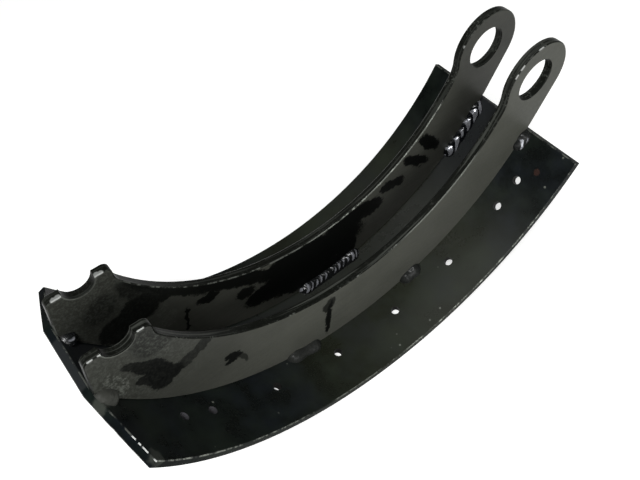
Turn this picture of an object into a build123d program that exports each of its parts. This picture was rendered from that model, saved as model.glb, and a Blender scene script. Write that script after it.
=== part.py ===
import os
from math import acos, ceil, cos, degrees, hypot, radians, sin

from build123d import *

# Sizes in mm and degrees. Angles run from straight down, positive towards the anchor end (+X).
table_inner_radius = 187.0
table_thickness = 5.5
table_width = 136.0
table_arc_angle = 125.6
table_middle_angle = -3.3  # where the middle of the table lies when the shoe rests on its back
corner_cut = 18.2         # cut off each corner at the roller end, along the arc
front_cut_offset = 21.5   # the cuts start this far from the middle of the shoe, not quite evenly
rear_cut_offset = 29.5

web_gap = 37.5
web_thickness = 6.0
web_height = 52.5         # at its tallest, from the table to the concave edge
web_edge_centre_height = 13.0   # centre of the concave edge above the drum centre
web_edge_angle = 4.7      # it lies off the table's middle line by this angle
edge_break = 0.6

anchor_bore = 30.0
anchor_past_end_angle = 13.4    # beyond the end of the table
eye_over_web = 1.1        # the eye's outline is this much wider than the web is high
eye_past_face = 3.5       # it reaches past the line of the table's inner face
eye_offset = 1.6          # its centre from the bore, away from the web
neck_blend = 22.0

seat_below_edge = 21.0    # centre of the roller's seat below the web's full height
seat_past_end_angle = 6.5
seat_diameter = 19.0
seat_proud = 0.9          # seat centre above the horns' flat lands
outer_horn_reach = 19.2   # from the seat's centre to the far side of each horn
inner_horn_reach = 18.8
web_end_angle = 6.5       # end of the web, out of square to the line from seat to anchor
horn_round = 4.0
horn_blend = 14.0

rivet_hole = 6.0
rivet_row_spacing = 79.0
rivet_middle_angle = 4.4  # middle of each row, from the middle of the table
rivet_pitch_angle = 16.45
rivet_pitches = 5
rivet_end_pitch_angle = 7.0

weld_leg = 5.4
weld_sink = 0.8           # centre of each lump behind the two faces that it joins
weld_pitch = 9.2          # of the lumps in a run that isn't smooth
outer_end_run = 17.5
outer_short_run = 20.0
outer_long_run = 30.0
inner_anchor_run = 49.0
inner_middle_run = 58.0
inner_roller_run = 12.0

# Each run of weld: where its middle lies, from the table's anchor end, its length, the pitch of its lumps.
outer_runs = [
    (2.7, outer_end_run, weld_pitch),
    (41.7, outer_short_run, weld_pitch),
    (72.6, outer_long_run, None),
    (122.7, outer_end_run, weld_pitch),
]
inner_runs = [
    (8.4, inner_anchor_run, weld_pitch),
    (54.9, inner_middle_run, None),
    (123.2, inner_roller_run, weld_pitch),
]

anchor_end = table_middle_angle + table_arc_angle / 2
roller_end = table_middle_angle - table_arc_angle / 2
anchor_angle = anchor_end + anchor_past_end_angle
seat_angle = roller_end - seat_past_end_angle
web_inner_face = web_gap / 2
web_outer_face = web_inner_face + web_thickness
table_outer_radius = table_inner_radius + table_thickness
web_edge_radius = table_inner_radius - web_height + web_edge_centre_height
eye_radius = (web_height + eye_over_web) / 2
eye_centre_radius = table_inner_radius + eye_past_face - eye_radius
anchor_radius = eye_centre_radius - eye_offset
seat_radius = table_inner_radius - web_height + seat_below_edge


def polar(radius, angle):
    return Vector(radius * sin(radians(angle)), -radius * cos(radians(angle)))


def along_arc(length):
    return degrees(length / table_inner_radius)


# The anchor bore is the origin, so the drum centre lies up and towards the roller end.
anchor = Vector(0, 0)
drum = anchor - polar(anchor_radius, anchor_angle)
seat = drum + polar(seat_radius, seat_angle)
drum_axis = Pos(drum.X, 0, drum.Y)


def ring_piece(low_radius, high_radius, low_y, high_y, start, end):
    """A rectangle of radius and Y swept round the drum axis from one angle to another."""
    section = Pos((low_radius + high_radius) / 2, (low_y + high_y) / 2) * Rectangle(
        high_radius - low_radius, high_y - low_y
    )
    return drum_axis * Rot(0, 90 - end, 0) * revolve(section, Axis.Y, end - start)


def crosses_plate(edge):
    reach = [(Vector(p.X, p.Z) - drum).length for p in (edge.position_at(0), edge.position_at(1))]
    return abs(reach[0] - reach[1]) > 0.01


def corner_wedge(cut_offset):
    """What the straight cut across the rear corner at the roller end takes off."""
    cut_angle = along_arc(corner_cut)
    out = polar(1, roller_end + cut_angle / 2)
    half = table_inner_radius * sin(radians(cut_angle / 2))
    slope = 2 * half / (table_width / 2 - cut_offset)
    past = 2 * table_thickness
    inside, outside = cut_offset - past, table_width / 2 + past
    lowest = -half - slope * past
    corner = Polygon((inside, lowest), (outside, lowest), (outside, half + slope * past), align=None)
    start = drum + out * (table_inner_radius - table_thickness)
    tangent = Plane(origin=(start.X, 0, start.Y), x_dir=(0, 1, 0), z_dir=(out.X, 0, out.Y))
    return extrude(tangent * corner, 4 * table_thickness)


def make_table():
    table = ring_piece(
        table_inner_radius, table_outer_radius, -table_width / 2, table_width / 2,
        roller_end, anchor_end,
    )
    table -= corner_wedge(rear_cut_offset)
    table -= mirror(corner_wedge(front_cut_offset), Plane.XZ)
    table = chamfer([edge for edge in table.edges() if not crosses_plate(edge)], edge_break)

    # One drill for each hole, square to the table.
    first = table_middle_angle + rivet_middle_angle - rivet_pitch_angle * rivet_pitches / 2
    angles = [first + rivet_pitch_angle * i for i in range(rivet_pitches + 1)]
    angles = [first - rivet_end_pitch_angle] + angles + [angles[-1] + rivet_end_pitch_angle]
    for angle in angles:
        out = polar(1, angle)
        start = drum + out * (table_inner_radius - table_thickness)
        for y in (-rivet_row_spacing / 2, rivet_row_spacing / 2):
            drill = Plane(origin=(start.X, y, start.Y), x_dir=(0, 1, 0), z_dir=(out.X, 0, out.Y))
            table -= extrude(drill * Circle(rivet_hole / 2), 3 * table_thickness)
    return table


def web_profile():
    along = (anchor - seat).normalized()
    up = Vector(-along.Y, along.X)
    land = seat - up * seat_proud
    horn_tip = land - along * outer_horn_reach
    horn_inner = land + along * inner_horn_reach
    down_end = -up * cos(radians(web_end_angle)) - along * sin(radians(web_end_angle))
    deep = table_inner_radius / 4

    # Outer neck: straight along the line that touches both the foot's circle and the eye's outline.
    eye_centre = drum + polar(eye_centre_radius, anchor_angle)
    touch_angle = anchor_angle - degrees(acos((table_inner_radius - eye_radius) / eye_centre_radius))
    touch = polar(1, touch_angle)
    foot_end = drum + touch * table_inner_radius
    neck_top = eye_centre + touch * eye_radius
    neck = Polygon(*[(p.X, p.Y) for p in (drum, foot_end, neck_top, eye_centre)], align=None)

    steps = 6
    sweep = [
        drum + polar(1.6 * table_inner_radius, touch_angle + (roller_end - touch_angle) * i / steps)
        for i in range(steps)
    ]
    limits = [drum] + sweep + [horn_tip + down_end * 2 * table_inner_radius, horn_tip, horn_inner]
    sector = Polygon(*[(p.X, p.Y) for p in limits], align=None)
    horns = Polygon(
        *[(p.X, p.Y) for p in (horn_tip, horn_tip + down_end * deep, horn_inner - up * deep, horn_inner)],
        align=None,
    )

    hollow_centre = drum - polar(web_edge_centre_height, table_middle_angle + web_edge_angle)
    disc = Pos(drum.X, drum.Y) * Circle(table_inner_radius)
    hollow = Pos(hollow_centre.X, hollow_centre.Y) * Circle(web_edge_radius) - horns
    eye = Pos(eye_centre.X, eye_centre.Y) * Circle(eye_radius)
    face = (disc & sector) + neck - hollow + eye

    # The concave edge runs from the foot of the inner horn to the throat of the eye.
    corners = [Vector(v.X, v.Y) for v in face.vertices()]
    corners = [p for p in corners if abs((p - hollow_centre).length - web_edge_radius) < edge_break / 10]
    blends = [(min(corners, key=lambda p: p.X), horn_blend), (max(corners, key=lambda p: p.X), neck_blend)]
    blends += [(horn_tip, horn_round), (horn_inner, horn_round)]
    for point, radius in blends:
        corner = face.vertices().sort_by_distance(Vector(point.X, point.Y, 0))[0]
        face = fillet(corner, radius)
    face -= Circle(anchor_bore / 2)
    face -= Pos(seat.X, seat.Y) * Circle(seat_diameter / 2)
    return face


def make_web(profile):
    plane = Plane(origin=(0, -web_inner_face, 0), x_dir=(1, 0, 0), z_dir=(0, -1, 0))
    web = extrude(plane * profile, web_thickness)
    # The foot on the table, the bore and the roller seat keep sharp edges.
    free = []
    for edge in web.edges():
        middle = edge.position_at(0.5)
        spot = Vector(middle.X, middle.Z)
        lengthwise = abs(edge.position_at(0).Y - edge.position_at(1).Y) < 0.01
        foot = abs((spot - drum).length - table_inner_radius) < edge_break / 10
        bored = (spot - anchor).length < anchor_bore / 2 + edge_break / 10
        seated = (spot - seat).length < seat_diameter / 2 + edge_break / 10
        if lengthwise and not (foot or bored or seated):
            free.append(edge)
    return chamfer(free, edge_break)


def make_bead(middle, length, pitch, face_y, side):
    """Weld metal laid in the corner between the table and one face of a web.

    With a pitch it is a row of overlapping lumps, without one a smooth rope with rounded ends.
    """
    high = min(anchor_end - middle + along_arc(length / 2), anchor_end)
    low = max(high - along_arc(length), roller_end)
    ball = hypot(weld_leg + weld_sink, weld_sink)
    first, last = high - along_arc(ball), low + along_arc(ball)
    steps = ceil((length - 2 * ball) / (pitch or length))
    if steps < 1:
        angles = [(high + low) / 2]
    else:
        angles = [first - (first - last) * i / steps for i in range(steps + 1)]
    shapes = []
    for angle in angles:
        at = drum + polar(table_inner_radius + weld_sink, angle)
        shapes.append(Pos(at.X, face_y - side * weld_sink, at.Y) * Rot(0, -angle, 0) * Sphere(ball))
    if not pitch:
        section = Pos(table_inner_radius + weld_sink, face_y - side * weld_sink) * Circle(ball)
        shapes.append(drum_axis * Rot(0, 90 - first, 0) * revolve(section, Axis.Y, first - last))
    bead = shapes[0].fuse(*shapes[1:]) if len(shapes) > 1 else shapes[0]
    low_y, high_y = sorted((face_y, face_y + side * 2 * weld_leg))
    corner = ring_piece(table_inner_radius - 3 * weld_leg, table_inner_radius, low_y, high_y, low, high)
    return bead & corner


os.makedirs("parts", exist_ok=True)

front_web = make_web(web_profile())
pieces = {
    "lining_table": make_table(),
    "front_web": front_web,
    "rear_web": mirror(front_web, Plane.XZ),
}
outer = [make_bead(*run, -web_outer_face, -1) for run in outer_runs]
inner = [make_bead(*run, -web_inner_face, 1) for run in inner_runs]
for side, beads in (("outer", outer), ("inner", inner)):
    pieces[f"front_{side}_welds"] = Compound(children=beads)
    pieces[f"rear_{side}_welds"] = Compound(children=[mirror(bead, Plane.XZ) for bead in beads])

for name, piece in pieces.items():
    export_step(piece, f"parts/{name}.step")
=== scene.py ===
import math

import bmesh
import bpy
from mathutils import Euler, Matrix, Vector, noise


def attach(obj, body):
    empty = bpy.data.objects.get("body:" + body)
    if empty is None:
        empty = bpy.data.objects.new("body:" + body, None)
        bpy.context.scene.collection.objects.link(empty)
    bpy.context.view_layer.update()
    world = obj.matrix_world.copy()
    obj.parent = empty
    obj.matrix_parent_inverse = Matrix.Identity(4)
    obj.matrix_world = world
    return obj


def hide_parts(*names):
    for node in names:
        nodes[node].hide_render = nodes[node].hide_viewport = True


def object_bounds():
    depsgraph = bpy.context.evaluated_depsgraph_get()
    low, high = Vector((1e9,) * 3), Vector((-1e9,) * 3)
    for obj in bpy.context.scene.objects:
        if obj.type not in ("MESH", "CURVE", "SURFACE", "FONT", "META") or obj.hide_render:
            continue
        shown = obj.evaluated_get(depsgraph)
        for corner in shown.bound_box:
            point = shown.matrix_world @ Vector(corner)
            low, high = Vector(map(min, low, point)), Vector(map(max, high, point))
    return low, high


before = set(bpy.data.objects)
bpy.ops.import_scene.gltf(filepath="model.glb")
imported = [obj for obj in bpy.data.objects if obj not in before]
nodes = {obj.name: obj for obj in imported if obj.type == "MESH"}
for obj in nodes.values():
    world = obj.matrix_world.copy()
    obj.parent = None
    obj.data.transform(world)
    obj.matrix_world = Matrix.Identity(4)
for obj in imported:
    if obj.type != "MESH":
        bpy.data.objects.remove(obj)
cadBox = [list(corner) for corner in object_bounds()]
print("frame loaded:", ", ".join(sorted(nodes)))

mm = 0.001

# Main lines of the shoe, as the model has them. Angles run from straight down, positive to the anchor.
shoe = {
    "drumX": -154.934 * mm,
    "drumZ": 47.664 * mm,
    "tableInner": 187.0 * mm,
    "anchorEnd": 59.5,
    "rollerEnd": -66.1,
    "webInner": 18.75 * mm,
    "webOuter": 24.75 * mm,
    "rivetRow": 39.5 * mm,
    "seat": (-303.3 * mm, 0.0, 1.16 * mm),
}


def hexColour(code):  # sRGB hex to linear RGBA
    values = [int(code[i:i + 2], 16) / 255 for i in (1, 3, 5)]
    return [v / 12.92 if v <= 0.04045 else ((v + 0.055) / 1.055) ** 2.4 for v in values] + [1.0]


def addNode(tree, kind, inputs=None, **settings):  # one node with its settings, values and links
    node = tree.nodes.new("ShaderNode" + kind)
    for name, value in settings.items():
        setattr(node, name, value)
    for key, value in (inputs or {}).items():
        if isinstance(value, bpy.types.NodeSocket):
            tree.links.new(value, node.inputs[key])
        else:
            node.inputs[key].default_value = value
    return node


def startMaterial(name):
    material = bpy.data.materials.new(name)
    material.use_nodes = True
    material.node_tree.nodes.clear()
    return material, material.node_tree


# ---- camera, as the photograph was taken ----
view = {
    "place": (-0.3165, -0.22028, 0.29873), "turn": (36.8087, 1.9957, -38.0198),
    "lens": 38.74, "sensor": 36,
}

cameraData = bpy.data.cameras.new("camera")
cameraData.lens = view["lens"]
cameraData.sensor_width = view["sensor"]
cameraObject = bpy.data.objects.new("camera", cameraData)
cameraObject.location = view["place"]
cameraObject.rotation_euler = Euler([math.radians(a) for a in view["turn"]])
bpy.context.scene.collection.objects.link(cameraObject)
bpy.context.scene.camera = cameraObject
print("camera placed")


def mixColour(tree, factor, low, high):
    node = addNode(tree, "Mix", {0: factor, 6: low, 7: high}, data_type="RGBA")
    return node.outputs[2]


def ramp(tree, value, low, high, outLow=0.0, outHigh=1.0):  # smooth step between two values
    node = addNode(
        tree, "MapRange",
        {"Value": value, "From Min": low, "From Max": high, "To Min": outLow, "To Max": outHigh},
        interpolation_type="SMOOTHSTEP",
    )
    return node.outputs["Result"]


def calc(tree, operation, first, second=0.0, clamp=False):
    return addNode(tree, "Math", {0: first, 1: second}, operation=operation, use_clamp=clamp).outputs[0]


def vector(tree, operation, first, second, out=0):
    return addNode(tree, "VectorMath", {0: first, 1: second}, operation=operation).outputs[out]


def drumPlace(tree, coords):  # angle round the drum axis from straight down in degrees, way outwards
    off = vector(tree, "SUBTRACT", coords, (shoe["drumX"], 0, shoe["drumZ"]))
    flat = vector(tree, "MULTIPLY", off, (1, 0, 1))
    part = addNode(tree, "SeparateXYZ", {0: flat})
    down = calc(tree, "MULTIPLY", part.outputs["Z"], -1.0)
    angle = calc(tree, "DEGREES", calc(tree, "ARCTAN2", part.outputs["X"], down))
    outward = addNode(tree, "VectorMath", {0: flat}, operation="NORMALIZE").outputs[0]
    return angle, outward


def ripple(tree, coords, size, detail, roughness=0.6):  # noise whose lumps are about this many mm across
    values = {"Vector": coords, "Scale": 1 / (size * mm), "Detail": detail, "Roughness": roughness}
    return addNode(tree, "TexNoise", values).outputs


def streaks(tree, coords, sizes):  # noise drawn out to these sizes in mm along x, y and z
    placed = addNode(tree, "Mapping", {"Vector": coords, "Scale": [1 / (size * mm) for size in sizes]})
    return addNode(tree, "TexNoise", {"Vector": placed.outputs[0], "Scale": 1.0, "Detail": 3.0}).outputs[0]


def ragged(tree, coords, size, reach):  # the place pushed about by up to half the reach, for torn edges
    wander = vector(tree, "SUBTRACT", ripple(tree, coords, size, 5.0)["Color"], (0.5, 0.5, 0.5))
    push = addNode(tree, "VectorMath", {0: wander, "Scale": reach * mm}, operation="SCALE").outputs[0]
    return vector(tree, "ADD", coords, push)


# How far the ovals reach through a web in m, where the grain tears them, and how wide a spot's edge is.
markForm = {"through": 10.0, "tear": (0.75, 1.1), "spotEdge": (1.2, 0.75)}


def patches(tree, coords, grain, places, soft):  # ovals on the web's face with edges broken up by a grain
    cover = None
    for x, z, halfLength, halfWidth, turn, strength in places.values():
        placed = addNode(
            tree, "Mapping",
            {"Vector": coords, "Location": (x * mm, 0, z * mm), "Rotation": (0, -math.radians(turn), 0),
             "Scale": (halfLength * mm, markForm["through"], halfWidth * mm)},
            vector_type="TEXTURE",
        )
        far = addNode(tree, "VectorMath", {0: placed.outputs[0]}, operation="LENGTH").outputs["Value"]
        spot = calc(tree, "ADD", ramp(tree, far, 1 + soft, 1 - soft), grain)
        spot = ramp(tree, spot, *markForm["tear"], 0.0, strength)
        cover = spot if cover is None else calc(tree, "MAXIMUM", cover, spot)
    return cover


def spots(tree, coords, places):  # small balls round the places, from x, y, z, radius in mm
    outside, inside = markForm["spotEdge"]
    cover = None
    for x, y, z, radius in places.values():
        far = vector(tree, "DISTANCE", coords, (x * mm, y * mm, z * mm), "Value")
        spot = ramp(tree, far, outside * radius * mm, inside * radius * mm)
        cover = spot if cover is None else calc(tree, "MAXIMUM", cover, spot)
    return cover


film = {"ior": 1.5, "bareMetal": 0.6, "crestWearAndHighlightMetal": 0.75}


def finishPaint(tree, colour, rough, level, metal, bump):
    shader = addNode(
        tree, "BsdfPrincipled",
        {"Base Color": colour, "Roughness": rough, "Specular IOR Level": level, "Metallic": metal,
         "IOR": film["ior"], "Normal": bump.outputs[0]},
    )
    output = addNode(tree, "OutputMaterial")
    tree.links.new(shader.outputs[0], output.inputs[0])


# Marks on the webs' faces: x and z in mm, half length and half width in mm, turn in degrees, strength.
frontMarks = {
    "sootAndShade": {
        "streak": (-174.0, -112.2, 19.2, 2.2, -97, 1.0),
        "streakTop": (-173.6, -98.5, 7.0, 4.6, -97, 0.65),
        "runTop": (-264.0, -47.3, 6.9, 4.6, -136, 0.62),
        "runMiddle": (-275.0, -52.1, 9.9, 5.4, -161, 0.6),
        "runLow": (-286.0, -54.3, 9.3, 6.5, -166, 0.9),
        "blob": (-294.5, -36.1, 12.9, 6.0, 131, 0.9),
        "blobTip": (-302.0, -26.5, 7.6, 3.5, 134, 0.75),
        "brushOne": (-300.6, -44.0, 4.8, 4.0, 166, 0.8),
        "brushTwo": (-291.4, -57.5, 8.1, 6.0, -173, 0.95),
        "blobMiddle": (-292.0, -48.0, 13.0, 8.5, -76, 1.0),
        "arrowHead": (-247.2, -80.2, 6.3, 3.2, -31, 0.95),
        "arrowFoot": (-248.6, -83.8, 4.6, 3.0, 17, 0.95),
        "arrowTail": (-241.9, -88.4, 7.5, 1.9, -80, 0.5),
        "hornShade": (-286.3, -13.2, 13.0, 15.0, -42, 0.42),
    },
    "dust": {
        "mottle": (-287.1, -17.4, 14.6, 7.0, -71, 0.45),
        "hazeLeft": (-313.8, -32.7, 12.9, 5.0, -77, 0.8),
        "hazeRun": (-313.6, -42.4, 12.7, 2.5, -101, 0.9),
    },
    # The eye's spots are chips; the horn's are painted glints.
    "chipsAndGlints": {  # x, y, z and radius
        "eyeLow": (-21.2, -24.4, 13.8, 1.7),
        "eyeHigh": (-17.2, -24.4, 18.6, 1.9),
        "eyeTop": (-2.5, -24.4, 26.0, 2.2),
        "innerHorn": (-290.6, -24.6, 0.2, 2.1),
        "hornCorner": (-283.2, -24.4, -1.2, 1.5),
        "outerHorn": (-313.0, -24.6, 0.2, 1.5),
        "outerHornTip": (-318.6, -24.6, 0.0, 1.6),
    },
}
rearMarks = {
    "sootAndShade": {
        "dripOne": (-45.6, -60.2, 14.0, 5.5, -46, 1.0),
        "dripTwo": (-56.6, -72.0, 15.0, 4.8, -36, 1.0),
        "dripThree": (-79.5, -81.2, 12.0, 5.0, -9, 1.0),
        "dripFour": (-98.4, -93.0, 10.0, 8.0, 17, 1.0),
        # From here to blackFoot: painted shade where the front web shadows the rear web's inner face.
        "blackRight": (-143.4, -106.6, 35.7, 17.0, 0, 1.0),
        "blackLower": (-159.8, -124.3, 36.4, 12.0, -13, 1.0),
        "blackByWeld": (-123.4, -121.2, 14.0, 9.0, -104, 1.0),
        "underEdgeRight": (-117.5, -91.0, 25.0, 9.0, 5, 1.0),
        "underEdgeLeft": (-167.8, -95.2, 31.9, 11.0, -2, 1.0),
        "blackFoot": (-189.0, -112.0, 24.0, 11.0, 0, 1.0),
        "bandMiddle": (-215.2, -78.7, 38.4, 6.5, -32, 0.9),
        "bandLeft": (-260.9, -43.3, 34.1, 5.0, -50, 0.8),
        "dipOne": (-211.7, -97.5, 7.8, 6.0, -10, 0.8),
        "dipTwo": (-238.1, -77.2, 7.6, 5.0, -3, 0.9),
        "dipThree": (-263.1, -48.5, 5.9, 5.0, 24, 0.8),
        "stroke": (-255.5, -85.4, 11.9, 1.6, -101, 1.0),
        "roughHigh": (-280.1, -46.7, 13.6, 12.0, -15, 0.8),
        "roughLow": (-296.6, -54.5, 11.4, 12.0, 0, 0.8),
        "roughTop": (-276.0, -29.0, 16.0, 8.0, -52, 0.6),
        "roughWide": (-299.8, -27.5, 12.0, 9.0, 49, 0.35),
    },
    "dust": {
        "patchLeft": (-266.3, -69.2, 12.0, 6.0, -88, 0.3),
        "nick": (-34.6, -92.0, 6.0, 1.9, 42, 1.0),
    },
    # The eye's spot is a chip; the horn's are painted glints on its lands.
    "chipsAndGlints": {
        "eyeSide": (-23.4, 19.0, 12.0, 1.6),
        "innerHorn": (-292.6, 19.4, 0.2, 2.0),
        "innerHornMiddle": (-290.4, 19.2, 0.2, 1.6),
        "outerHorn": (-315.0, 19.4, 0.1, 1.9),
        "outerHornMiddle": (-317.5, 19.4, 0.0, 1.7),
    },
}
webLooks = {
    "front_web": {
        "marks": frontMarks, "ragged": 6.0, "haze": 1.0, "leftHaze": 0.35, "eyeHaze": 1.0,
        "rubFrom": 0.54, "landChipsAndGlints": 0.0, "rimGlintLines": 0.3,
    },
    "rear_web": {
        "marks": rearMarks, "ragged": 9.0, "haze": 0.85, "leftHaze": 0.42, "eyeHaze": 0.75,
        "rubFrom": 0.44, "landChipsAndGlints": 0.7, "rimGlintLines": 0.14,
    },
}
webTones = {
    "deep": "#0f110f", "warm": "#181915", "haze": "#494a44", "sootAndShade": "#0c0d0c", "dust": "#5c5f59",
    "edgeMetalAndGlint": "#6c6f69", "chipAndGlint": "#9b9d9a",
}


# Noise: lump size in mm, detail, roughness; for drag and the painted highlight lines the sizes along x, y
# and z.
webNoise = {
    "cloud": (30, 6.0), "fine": (1.6, 4.0, 0.7), "rubAndGlint": (7, 4.0, 0.75), "fleckAndGlint": (9, 3.0),
    "drag": (60, 8, 2.5), "glintLines": (50, 1.3, 50),
}
# Where each of them fades out or in along the shoe, in degrees from straight down.
webSpans = {
    "scuff": (-38.0, -58.0), "eye": (70.0, 55.0), "horns": (-62.0, -15.0), "thinStart": (15.0, 25.0),
    "thinEnd": (56.0, 48.0), "ends": (64.0, 58.0), "neck": (50.0, 62.0),
}
# How squarely a surface faces sideways: 1 on a web's flat faces, 0 on its rim, between on broken edges.
webFacing = {"marked": -0.9, "flat": (0.9, 0.98), "offRim": (0.3, 0.4), "offFlat": (0.92, 0.85)}
seatGlintRing = (10.6 * mm, 10.0 * mm)
webBump = {"Strength": 0.3, "Distance": 0.35 * mm}


# Gloss black on flame-cut plate: dried to a dull olive haze, with sooty runs, painted shade where the
# front web shadows the rear one, rubbed edges, and painted highlights along the rims and round the
# roller's seat.
def webPaint(name, look):
    material, tree = startMaterial(name)
    coords = addNode(tree, "TexCoord").outputs["Object"]
    face = addNode(tree, "NewGeometry").outputs["True Normal"]
    turned = addNode(tree, "SeparateXYZ", {0: face}).outputs["Y"]
    frontal = calc(tree, "LESS_THAN", turned, webFacing["marked"])  # the side of a web that has the marks
    sideways = calc(tree, "ABSOLUTE", turned)
    angle = drumPlace(tree, coords)[0]
    cloud = ripple(tree, coords, *webNoise["cloud"])[0]
    fine = ripple(tree, coords, *webNoise["fine"])[0]
    drag = streaks(tree, coords, webNoise["drag"])

    torn = ragged(tree, ragged(tree, coords, 9, look["ragged"]), 3, 5.0)
    grain = calc(tree, "MULTIPLY", fine, 0.9)
    # Soot marks, and painted shade on the rear web where the front web shadows it.
    sootAndShade = calc(tree, "MULTIPLY", patches(tree, torn, grain, look["marks"]["sootAndShade"], 0.5), frontal)
    dust = calc(tree, "MULTIPLY", patches(tree, torn, grain, look["marks"]["dust"], 0.5), frontal)
    scuff = calc(tree, "MULTIPLY", ramp(tree, angle, *webSpans["scuff"], 0.0, 0.3), frontal)
    dust = calc(tree, "MAXIMUM", dust, scuff)
    dust = calc(tree, "MULTIPLY", dust, ramp(tree, fine, 0.42, 0.66, 0.0, 0.9))
    dust = calc(tree, "MULTIPLY", dust, ramp(tree, sootAndShade, 0.3, 0.9, 1.0, 0.25))

    # A painted highlight: a thin pale line along the sharp edge round the roller's seat.
    flat = vector(tree, "MULTIPLY", coords, (1, 0, 1))
    far = vector(tree, "DISTANCE", flat, shoe["seat"], "Value")
    seatGlint = calc(tree, "MULTIPLY", ramp(tree, far, *seatGlintRing), frontal)
    seatGlint = calc(tree, "MULTIPLY", seatGlint, ramp(tree, cloud, 0.4, 0.6, 0.25, 0.8))

    # The haze is thickest over the table and thins out towards the horns and the eye.
    haze = ramp(tree, cloud, 0.3, 0.65, 0.85 * look["haze"], look["haze"])
    haze = calc(tree, "MULTIPLY", haze, ramp(tree, drag, 0.2, 0.7, 0.88, 1.05))
    haze = calc(tree, "MULTIPLY", haze, ramp(tree, angle, *webSpans["eye"], look["eyeHaze"], 1.0))
    haze = calc(tree, "MULTIPLY", haze, ramp(tree, angle, *webSpans["horns"], look["leftHaze"], 1.0))
    haze = calc(tree, "MULTIPLY", haze, ramp(tree, sideways, *webFacing["flat"]))
    haze = calc(tree, "MULTIPLY", haze, calc(tree, "SUBTRACT", 1.0, sootAndShade), clamp=True)

    # The broken edges on the marked side are rubbed through to grey metal in places, and a painted
    # highlight line runs along the rim towards the eye.
    offRim = ramp(tree, sideways, *webFacing["offRim"])
    broken = calc(tree, "MULTIPLY", offRim, ramp(tree, sideways, *webFacing["offFlat"]))
    rubAndGlint = ripple(tree, coords, *webNoise["rubAndGlint"])[0]
    rubAndGlint = ramp(tree, rubAndGlint, look["rubFrom"], look["rubFrom"] + 0.14)
    thinStart = ramp(tree, angle, *webSpans["thinStart"])
    thin = calc(tree, "MULTIPLY", thinStart, ramp(tree, angle, *webSpans["thinEnd"], 0.0, 0.55))
    rubAndGlint = calc(tree, "MAXIMUM", rubAndGlint, thin)
    rubAndGlint = calc(tree, "MULTIPLY", rubAndGlint, ramp(tree, turned, 0.0, -0.3, 0.06, 1.0))
    away = calc(tree, "ABSOLUTE", angle)
    rubAndGlint = calc(tree, "MULTIPLY", rubAndGlint, ramp(tree, away, *webSpans["ends"], 0.3, 1.0))
    bareAndGlint = calc(tree, "MULTIPLY", broken, rubAndGlint)

    # The rims have pale flecks, and fine painted highlight lines that run lengthwise.
    fleckAndGlint = calc(tree, "MULTIPLY", ramp(tree, sideways, 0.9, 0.8), ramp(tree, fine, 0.5, 0.66, 0.0, 0.5))
    patchy = ripple(tree, coords, *webNoise["fleckAndGlint"])[0]
    fleckAndGlint = calc(tree, "MULTIPLY", fleckAndGlint, ramp(tree, patchy, 0.42, 0.58))
    fleckAndGlint = calc(tree, "MULTIPLY", fleckAndGlint, ramp(tree, angle, *webSpans["neck"], 0.3, 1.0))
    glintLines = ramp(tree, streaks(tree, coords, webNoise["glintLines"]), 0.5, 0.62, 0.0, look["rimGlintLines"])
    glintLines = calc(tree, "MULTIPLY", glintLines, ramp(tree, sideways, 0.5, 0.3))
    fleckAndGlint = calc(tree, "MAXIMUM", fleckAndGlint, glintLines)
    # Pale spots: chips on the eye, painted glints on the horns.
    chipAndGlint = spots(tree, ragged(tree, coords, 1.5, 1.2), look["marks"]["chipsAndGlints"])
    chipAndGlint = calc(tree, "MULTIPLY", chipAndGlint, ramp(tree, sideways, 0.98, 0.9, 0.1, 1.0))
    chipAndGlint = calc(tree, "MULTIPLY", chipAndGlint, ramp(tree, sideways, *webFacing["offRim"], look["landChipsAndGlints"], 1.0))

    colour = mixColour(tree, cloud, hexColour(webTones["deep"]), hexColour(webTones["warm"]))
    wornAndGlint = calc(tree, "MAXIMUM", calc(tree, "MAXIMUM", bareAndGlint, seatGlint), fleckAndGlint)
    layers = {"haze": haze, "sootAndShade": sootAndShade, "dust": dust, "edgeMetalAndGlint": wornAndGlint, "chipAndGlint": chipAndGlint}
    for tone, cover in layers.items():
        colour = mixColour(tree, cover, colour, hexColour(webTones[tone]))

    rough = calc(tree, "ADD", calc(tree, "MULTIPLY", haze, 0.15), ramp(tree, fine, 0.3, 0.8, 0.3, 0.42))
    level = ramp(tree, sootAndShade, 0.0, 1.0, 0.12, 0.04)
    level = calc(tree, "MULTIPLY", level, ramp(tree, sideways, 0.75, 0.95, 0.35, 1.0))
    height = calc(tree, "ADD", calc(tree, "MULTIPLY", fine, 0.35), calc(tree, "MULTIPLY", cloud, 1.5))
    bump = addNode(tree, "Bump", {"Height": height, **webBump})
    finishPaint(tree, colour, rough, level, calc(tree, "MULTIPLY", bareAndGlint, film["bareMetal"]), bump)
    return material


tableMarks = {  # x, y, z and radius
    "specks": {
        "endHigh": (5.4, -58.2, -49.0, 0.8),
        "endLow": (-8.0, -59.4, -68.4, 0.9),
        "middleHigh": (-100.8, -60.8, -131.5, 0.8),
        "middleLow": (-111.9, -62.4, -134.5, 0.7),
        "middleEdge": (-140.2, -62.2, -139.0, 0.8),
        "left": (-272.2, -33.9, -98.2, 0.8),
    },
    "rust": {"end": (-4.8, -48.3, -64.4, 2.4)},
    # Painted glints: pale spots along the broken edges of the corner cut at the roller end.
    "chipsAndGlints": {
        "cutLow": (-326.2, -43.5, -37.0, 2.6),
        "cutOne": (-320.9, -52.4, -39.1, 1.5),
        "cutTwo": (-320.0, -56.6, -40.6, 1.0),
        "cutThree": (-319.3, -60.4, -42.0, 2.1),
        "corner": (-318.2, -67.4, -44.4, 1.3),
    },
    "smudges": {"corner": (-316.0, -65.0, -46.5, 5.0), "byWeld": (-326.0, -30.0, -32.5, 4.5)},
}
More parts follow.
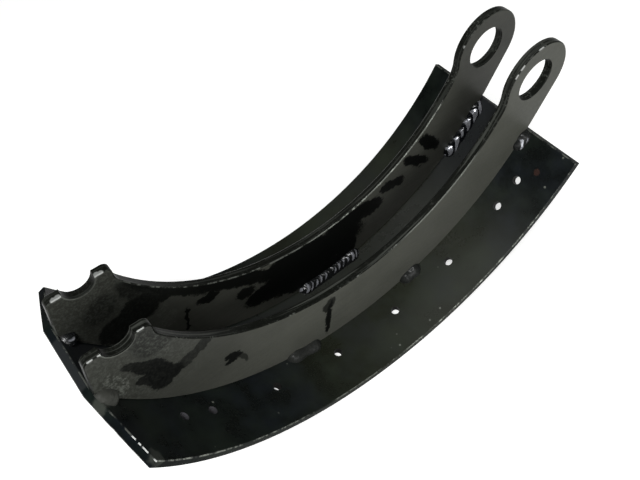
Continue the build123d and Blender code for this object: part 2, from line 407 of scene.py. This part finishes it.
tableTones = {
    "deep": "#0a0d0c", "green": "#1a201b", "blue": "#14181d", "dust": "#5f625b", "rim": "#1c1f1c",
    "edgeMetalAndGlint": "#777a73", "chipAndGlint": "#d0d2cf", "rust": "#3d2a24", "drilled": "#1d1c1b",
    "drilledLit": "#3f3e41", "channel": "#2f3132", "oliveAndSheen": "#41432f",
}


tableNoise = {"cloud": (26, 6.0), "drift": (45, 4.0), "fine": (1.8, 5.0, 0.7), "bareAndGlint": (9, 4.0, 0.75)}
tableSpans = {  # degrees from straight down
    "oliveAndSheenStart": (-30.0, 0.0), "oliveAndSheenEnd": (52.0, 30.0), "drilledLit": (-25.0, -42.0),
    "dimmed": (-60.0, -20.0),
}
speckCell = 11 * mm
channelHalf = (19 * mm, 17 * mm)
farFlange = (20 * mm, 30 * mm)  # from here outwards it is duller
rivetHole = {"reach": 4.2 * mm, "lastAngle": 53.0}
tableBump = {"Strength": 0.25, "Distance": 0.35 * mm}


def tablePaint(name):  # gloss black on rolled plate: deep, faintly mottled, worn pale along the rim with painted glints on the broken edges, and a painted sheen over the middle of the arc
    material, tree = startMaterial(name)
    coords = addNode(tree, "TexCoord").outputs["Object"]
    face = addNode(tree, "NewGeometry").outputs["True Normal"]
    sideways = calc(tree, "ABSOLUTE", addNode(tree, "SeparateXYZ", {0: face}).outputs["Y"])
    rearward = addNode(tree, "SeparateXYZ", {0: coords}).outputs["Y"]
    across = calc(tree, "ABSOLUTE", rearward)
    angle, outward = drumPlace(tree, coords)
    facing = calc(tree, "ABSOLUTE", vector(tree, "DOT_PRODUCT", outward, face, "Value"))

    cloud = ripple(tree, coords, *tableNoise["cloud"])[0]
    drift = ripple(tree, coords, *tableNoise["drift"])[0]
    fine = ripple(tree, coords, *tableNoise["fine"])[0]
    specks = addNode(tree, "TexVoronoi", {"Vector": coords, "Scale": 1 / speckCell}).outputs["Distance"]
    speck = calc(tree, "MULTIPLY", ramp(tree, specks, 0.07, 0.04), ramp(tree, cloud, 0.52, 0.6, 0.0, 0.7))
    speck = calc(tree, "MAXIMUM", speck, spots(tree, coords, tableMarks["specks"]))
    torn = ragged(tree, coords, 1.5, 1.2)
    smudge = calc(tree, "MULTIPLY", spots(tree, ragged(tree, coords, 4, 6.0), tableMarks["smudges"]), 0.3)
    rust = calc(tree, "MULTIPLY", spots(tree, ragged(tree, coords, 3, 3.0), tableMarks["rust"]), 0.7)

    broken = calc(tree, "MULTIPLY", ramp(tree, facing, 0.3, 0.4), ramp(tree, facing, 0.92, 0.85))
    bareAndGlint = ramp(tree, ripple(tree, coords, *tableNoise["bareAndGlint"])[0], 0.46, 0.62)
    bareAndGlint = calc(tree, "MULTIPLY", broken, bareAndGlint)
    # Painted glints on the corner cut's broken edges.
    chipAndGlint = calc(tree, "MULTIPLY", spots(tree, torn, tableMarks["chipsAndGlints"]), broken)
    rim = calc(tree, "MULTIPLY", ramp(tree, sideways, 0.8, 0.95), ramp(tree, cloud, 0.35, 0.6, 0.2, 0.9))

    hue = ramp(tree, drift, 0.35, 0.65)
    hue = mixColour(tree, hue, hexColour(tableTones["green"]), hexColour(tableTones["blue"]))
    colour = mixColour(tree, ramp(tree, cloud, 0.3, 0.65), hexColour(tableTones["deep"]), hue)
    channel = ramp(tree, across, *channelHalf, 0.0, 0.75)  # the floor of the channel between the webs is made paler
    # Painted sheen: the paler olive over the middle of the arc, partly the paint's own tint.
    oliveAndSheen = ramp(tree, angle, *tableSpans["oliveAndSheenStart"])
    oliveAndSheen = calc(tree, "MULTIPLY", oliveAndSheen, ramp(tree, angle, *tableSpans["oliveAndSheenEnd"], 0.0, 0.2))
    layers = [
        ("channel", channel), ("oliveAndSheen", oliveAndSheen), ("dust", smudge), ("rust", rust), ("dust", speck),
        ("rim", rim), ("edgeMetalAndGlint", bareAndGlint), ("chipAndGlint", chipAndGlint),
    ]
    for tone, cover in layers:
        colour = mixColour(tree, cover, colour, hexColour(tableTones[tone]))

    # Thin paint on the walls of the rivet holes, brown at the anchor end; at the roller end the paler grey
    # is painted light on the lit walls.
    row = calc(tree, "ABSOLUTE", calc(tree, "SUBTRACT", across, shoe["rivetRow"]))
    wall = calc(tree, "LESS_THAN", row, rivetHole["reach"])
    wall = calc(tree, "MULTIPLY", wall, ramp(tree, facing, 0.5, 0.3))
    inRow = calc(tree, "LESS_THAN", calc(tree, "ABSOLUTE", angle), rivetHole["lastAngle"])
    lit = ramp(tree, angle, *tableSpans["drilledLit"])
    drilled = mixColour(tree, lit, hexColour(tableTones["drilled"]), hexColour(tableTones["drilledLit"]))
    colour = mixColour(tree, calc(tree, "MULTIPLY", wall, inRow), colour, drilled)

    rough = calc(tree, "ADD", ramp(tree, cloud, 0.3, 0.7, 0.2, 0.34), calc(tree, "MULTIPLY", fine, 0.1))
    level = ramp(tree, facing, 0.5, 0.9, 0.01, 0.35)
    level = calc(tree, "MULTIPLY", level, ramp(tree, rearward, *farFlange, 1.0, 0.35))
    level = calc(tree, "MULTIPLY", level, ramp(tree, angle, *tableSpans["dimmed"], 0.5, 1.0))
    height = calc(tree, "ADD", calc(tree, "MULTIPLY", fine, 0.4), cloud)
    bump = addNode(tree, "Bump", {"Height": height, **tableBump})
    finishPaint(tree, colour, rough, level, calc(tree, "MULTIPLY", bareAndGlint, film["bareMetal"]), bump)
    return material


# The crest tone stands for worn metal and a painted highlight on the weld ripples.
weldTones = {"paint": "#0b0d10", "haze": "#3f403b", "crest": "#d4d6de"}


weldBump = {"Strength": 0.35, "Distance": 0.25 * mm}


def weldPaint(name):  # weld metal under thin gloss black: wet-looking lumps, with worn metal and painted highlights on the crests of the ripples
    material, tree = startMaterial(name)
    coords = addNode(tree, "TexCoord").outputs["Object"]
    crest = addNode(tree, "Attribute", attribute_name="crest").outputs["Fac"]
    grit = ripple(tree, coords, 1.2, 4.0, 0.7)[0]
    blotch = ripple(tree, coords, 4, 3.0)[0]
    wornAndGlint = calc(tree, "ADD", calc(tree, "MULTIPLY", grit, 0.4), calc(tree, "MULTIPLY", blotch, 1.3))
    wornAndGlint = ramp(tree, calc(tree, "MULTIPLY", wornAndGlint, crest), 0.28, 0.72)
    haze = addNode(tree, "Attribute", attribute_name="haze").outputs["Fac"]
    colour = mixColour(tree, haze, hexColour(weldTones["paint"]), hexColour(weldTones["haze"]))
    colour = mixColour(tree, wornAndGlint, colour, hexColour(weldTones["crest"]))
    bump = addNode(tree, "Bump", {"Height": grit, **weldBump})
    rough = calc(tree, "ADD", ramp(tree, grit, 0.3, 0.7, 0.14, 0.3), calc(tree, "MULTIPLY", haze, 0.25))
    level = ramp(tree, haze, 0.0, 0.3, 0.5, 0.1)
    finishPaint(tree, colour, rough, level, calc(tree, "MULTIPLY", wornAndGlint, film["crestWearAndHighlightMetal"]), bump)
    return material


for name, look in webLooks.items():
    paint = webPaint("glossBlack" + name.split("_")[0].capitalize() + "Web", look)
    nodes[name].data.materials.clear()
    nodes[name].data.materials.append(paint)
nodes["lining_table"].data.materials.clear()
nodes["lining_table"].data.materials.append(tablePaint("glossBlackTable"))
print("paint on the plates")

# Runs of weld: middle from the table's anchor end in degrees, then in mm length, ripple pitch and height,
# how much worn metal and painted highlight shows on the crests, how much dried haze lies on them.
weldRuns = {
    "outer": [
        (2.7, 17.5, 8.5, 1.5, 0.3, 0.2),
        (41.7, 20.0, 16.0, 0.4, 0.13, 0.25),
        (72.6, 30.0, 11.0, 0.3, 0.0, 0.3),
        (122.7, 17.5, 12.0, 0.5, 0.13, 0.75),
    ],
    "inner": [
        (8.4, 49.0, 8.2, 1.9, 1.0, 0.0),
        (54.9, 58.0, 4.4, 0.8, 0.52, 0.1),
        (123.2, 12.0, 6.0, 0.6, 0.3, 0.1),
    ],
}
weldShape = {
    "leg": 5.3 * mm, "sink": 0.8 * mm,  # sink: how far the round face's centre is behind both plates
    "buried": 0.5 * mm, "step": 0.55 * mm, "around": 24,
    "freeShare": 0.72,  # of the points round a run lie on the free face, the rest run back behind it
    "freeStart": -4, "freeTurn": 98,
    "wave": 0.09, "waveLength": 6 * mm,
    "stopSwell": 0.1, "stopPlace": 1.1, "stopWidth": 0.7,  # the lumps at both ends of a run are fatter
    "taperEnd": 0.02, "chevron": 0.42, "lumpSkew": 0.8,
    "grain": 0.22 * mm, "grainSize": 1.7 * mm,
    "crestHighlightWidth": 0.36, "crestHighlightTwist": 1.1, "finePitch": 8 * mm,
}


def makeRun(whole, run, faceY, side, seed):
    middle, length, pitch, rise, wearAndHighlight, haze = run
    length, pitch, rise = length * mm, pitch * mm, rise * mm
    ball = math.hypot(weldShape["leg"] + weldShape["sink"], weldShape["sink"])
    turn = math.degrees(length / shoe["tableInner"])
    high = min(shoe["anchorEnd"] - middle + turn / 2, shoe["anchorEnd"])
    low = max(high - turn, shoe["rollerEnd"])
    high, low = math.radians(high), math.radians(low)
    length = (high - low) * shoe["tableInner"]
    count, buried = weldShape["around"], weldShape["buried"]
    bm = bmesh.new()
    crestWearAndHighlightLayer = bm.verts.layers.float.new("crest")
    hazeLayer = bm.verts.layers.float.new("haze")
    bmesh.ops.create_cone(bm, cap_ends=True, segments=count, radius1=1, radius2=1, depth=1)
    lengthwise = [e for e in bm.edges if abs(e.verts[0].co.z - e.verts[1].co.z) > 0.5]
    steps = round(length / weldShape["step"])
    bmesh.ops.subdivide_edges(bm, edges=lengthwise, cuts=steps - 1, use_grid_fill=True)
    freeShare = weldShape["freeShare"]
    for v in bm.verts:
        s = (v.co.z + 0.5) * length
        share = (math.atan2(v.co.y, v.co.x) / (2 * math.pi)) % 1.0
        along = noise.noise(Vector((s / weldShape["waveLength"], seed * 3.7, 0)))
        end = min(s, length - s) / ball
        stop = math.exp(-((end - weldShape["stopPlace"]) / weldShape["stopWidth"]) ** 2)
        wide = 1 + weldShape["wave"] * along + weldShape["stopSwell"] * stop
        taper = math.sqrt(max(1 - (1 - end) ** 2, weldShape["taperEnd"])) if end < 1 else 1.0
        across = min(share / freeShare, 1.0) * 2 - 1  # -1 at the toe on the table, 1 at the toe on the web
        phase = (s + weldShape["chevron"] * pitch * (1 - across ** 2) * 2.2) / pitch + seed * 0.37
        cell = math.floor(phase)
        lump = (phase - cell) ** weldShape["lumpSkew"]
        scale = math.sqrt(max(1 - (2 * lump - 1) ** 2, 0)) if share <= freeShare else 0
        uneven = 0.75 + 0.5 * noise.noise(Vector((cell * 1.7, seed * 5.1, 3.0)))
        bulge = rise * uneven * (scale - 0.75)
        spot = Vector((s, across * 5 * mm, seed)) / weldShape["grainSize"]
        grain = weldShape["grain"] * noise.noise(spot)
        radius = (ball * wide + bulge * (1 - across ** 4) + grain) * taper
        if share <= freeShare:
            phi = math.radians(weldShape["freeStart"] + weldShape["freeTurn"] * share / freeShare)
            u = radius * math.cos(phi) - weldShape["sink"]
            w = radius * math.sin(phi) - weldShape["sink"]
        else:
            back = (share - freeShare) / (1 - freeShare)
            reach = weldShape["leg"] * taper
            u = -buried if back < 0.5 else -buried + (back - 0.5) * 2 * reach * 0.8
            w = -buried if back >= 0.5 else -buried + (0.5 - back) * 2 * reach * 0.8
        u = max(u, -buried)
        w = max(w, -buried)
        angle = high - s / length * (high - low)
        reach = shoe["tableInner"] - w
        x = shoe["drumX"] + reach * math.sin(angle)
        z = shoe["drumZ"] - reach * math.cos(angle)
        v.co = (x, faceY + side * u, z)
        # The worn metal and painted highlight on each ripple's crest lie slantwise, like the strands of a
        # rope, and fine ripples vary more.
        pick = noise.noise(Vector((cell * 3.3 + seed, 0.5, 9.0))) * weldShape["finePitch"] / pitch
        sway = 0.4 * noise.noise(Vector((cell * 2.1, 7.7, seed * 1.3)))
        centre = sway + 0.65 - weldShape["crestHighlightTwist"] * lump
        ridge = scale ** 0.5 * math.exp(-((across - centre) / weldShape["crestHighlightWidth"]) ** 2)
        v[crestWearAndHighlightLayer] = min(1.0, wearAndHighlight * ridge * (1.05 + 0.9 * pick + 1.1 * stop))
        v[hazeLayer] = haze
    loose = bpy.data.meshes.new("run")
    bm.to_mesh(loose)
    bm.free()
    whole.from_mesh(loose)
    bpy.data.meshes.remove(loose)


def makeWelds(name, runs, faceY, side, seed, paint):
    bm = bmesh.new()
    for i, run in enumerate(runs):
        makeRun(bm, run, faceY, side, seed + i)
    bmesh.ops.recalc_face_normals(bm, faces=bm.faces)
    for face in bm.faces:
        face.smooth = True
    mesh = bpy.data.meshes.new(name)
    bm.to_mesh(mesh)
    bm.free()
    mesh.materials.append(paint)
    piece = bpy.data.objects.new(name, mesh)
    bpy.context.scene.collection.objects.link(piece)
    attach(piece, "root")
    return piece


weldFinish = weldPaint("glossBlackWeld")
seed = 1
for plate, ySign in (("front", -1), ("rear", 1)):
    for place, runs in weldRuns.items():
        faceY = ySign * (shoe["webOuter"] if place == "outer" else shoe["webInner"])
        side = ySign if place == "outer" else -ySign
        piece = makeWelds(plate + place.capitalize() + "Welds", runs, faceY, side, seed, weldFinish)
        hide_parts(f"{plate}_{place}_welds")
        seed += 10
print("weld runs laid")

# ---- pale floor, soft light ----
stage = {"floorHalf": 30.0, "floorColour": "#e9e9e7", "lift": 0.52}
# A soft ceiling light in a dim room, its edge given by the cosine from the middle of the light.
sky = {"towards": (-0.29, 0.33, 0.9), "edge": (0.78, 0.99), "low": "#4a4c4c", "high": "#e2e4e4"}

floorMesh = bpy.data.meshes.new("floor")
bm = bmesh.new()
bmesh.ops.create_grid(bm, x_segments=1, y_segments=1, size=stage["floorHalf"])
bmesh.ops.translate(bm, vec=(0, 0, cadBox[0][2]), verts=bm.verts)
bm.to_mesh(floorMesh)
bm.free()
floor = bpy.data.objects.new("floor", floorMesh)
bpy.context.scene.collection.objects.link(floor)
floorPaper, tree = startMaterial("whitePaper")
path = addNode(tree, "LightPath")
seen = calc(tree, "MAXIMUM", path.outputs["Is Camera Ray"], path.outputs["Is Glossy Ray"])
seen = calc(tree, "MAXIMUM", seen, path.outputs["Is Transmission Ray"])
matte = addNode(tree, "BsdfDiffuse", {"Color": hexColour(stage["floorColour"])})
lift = calc(tree, "MULTIPLY", seen, stage["lift"])
glow = addNode(tree, "Emission", {"Color": (1, 1, 1, 1), "Strength": lift})
both = addNode(tree, "AddShader", {0: matte.outputs[0], 1: glow.outputs[0]})
output = addNode(tree, "OutputMaterial")
tree.links.new(both.outputs[0], output.inputs[0])
floorMesh.materials.append(floorPaper)

world = bpy.data.worlds.new("studio")
world.use_nodes = True
tree = world.node_tree
tree.nodes.clear()
way = addNode(tree, "TexCoord").outputs["Generated"]
toSky = vector(tree, "DOT_PRODUCT", way, sky["towards"], "Value")
glow = mixColour(tree, ramp(tree, toSky, *sky["edge"]), hexColour(sky["low"]), hexColour(sky["high"]))
background = addNode(tree, "Background", {"Color": glow, "Strength": 1.0})
output = addNode(tree, "OutputWorld")
tree.links.new(background.outputs[0], output.inputs[0])
bpy.context.scene.world = world

shoeMiddle = Vector((-0.155, 0.0, -0.06))
lamps = {  # place, size and power of each soft box, aimed at the middle of the shoe
    "keyBox": {"place": (-0.7, -0.5, 1.2), "size": 0.35, "power": 13.0},
    "frontBox": {"place": (-0.35, -1.25, 0.45), "size": 0.9, "power": 11.0},
}
for name, lamp in lamps.items():
    lightData = bpy.data.lights.new(name, "AREA")
    lightData.shape = "SQUARE"
    lightData.size = lamp["size"]
    lightData.energy = lamp["power"]
    light = bpy.data.objects.new(name, lightData)
    light.location = lamp["place"]
    light.rotation_euler = (shoeMiddle - Vector(lamp["place"])).to_track_quat("-Z", "Y").to_euler()
    bpy.context.scene.collection.objects.link(light)
bpy.context.scene.view_settings.view_transform = "Standard"
print("stage lit")
